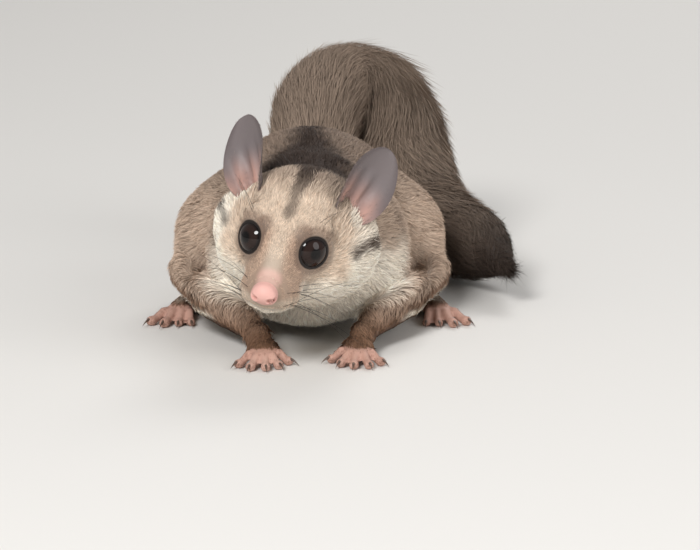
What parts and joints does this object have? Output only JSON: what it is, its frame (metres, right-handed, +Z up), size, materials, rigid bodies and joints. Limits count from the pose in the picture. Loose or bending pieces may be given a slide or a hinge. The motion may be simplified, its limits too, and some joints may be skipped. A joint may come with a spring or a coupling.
{
  "type": "sugar glider figure",
  "caption": "Life-size sugar glider crouching on the floor with its head turned and tilted, its membrane folded along the flanks and its bushy tail arched over and laid down.",
  "frame": {"origin": "on the floor under the middle of the belly's flat", "axes": "+Z up, the animal faces -Y, its left side is +X"},
  "size_m": [0.0926, 0.1605, 0.0546],
  "materials": {
    "coat": null,
    "tail_coat": "long soft fur in overlapping locks",
    "ear_skin": "thin, nearly bare matt skin",
    "paw_skin": "bare pinkish skin with dark claws",
    "nose_skin": "moist fine-grained skin",
    "eye": "gloss"
  },
  "bodies": {
    "root": {"ear_left": "ear_skin", "ear_right": "ear_skin", "eye_left": "eye", "eye_right": "eye", "foot_left": "paw_skin", "foot_right": "paw_skin", "forearm_left": "coat", "forearm_right": "coat", "hand_left": "paw_skin", "hand_right": "paw_skin", "head": "coat", "neck": "coat", "nose": "nose_skin", "patagium_left": "coat", "patagium_right": "coat", "shank_left": "coat", "shank_right": "coat", "tail_1": "tail_coat", "tail_2": "tail_coat", "tail_3": "tail_coat", "tail_4": "tail_coat", "tail_5": "tail_coat", "thigh_left": "coat", "thigh_right": "coat", "torso": "coat", "upper_arm_left": "coat", "upper_arm_right": "coat"}
  },
  "joints": []
}
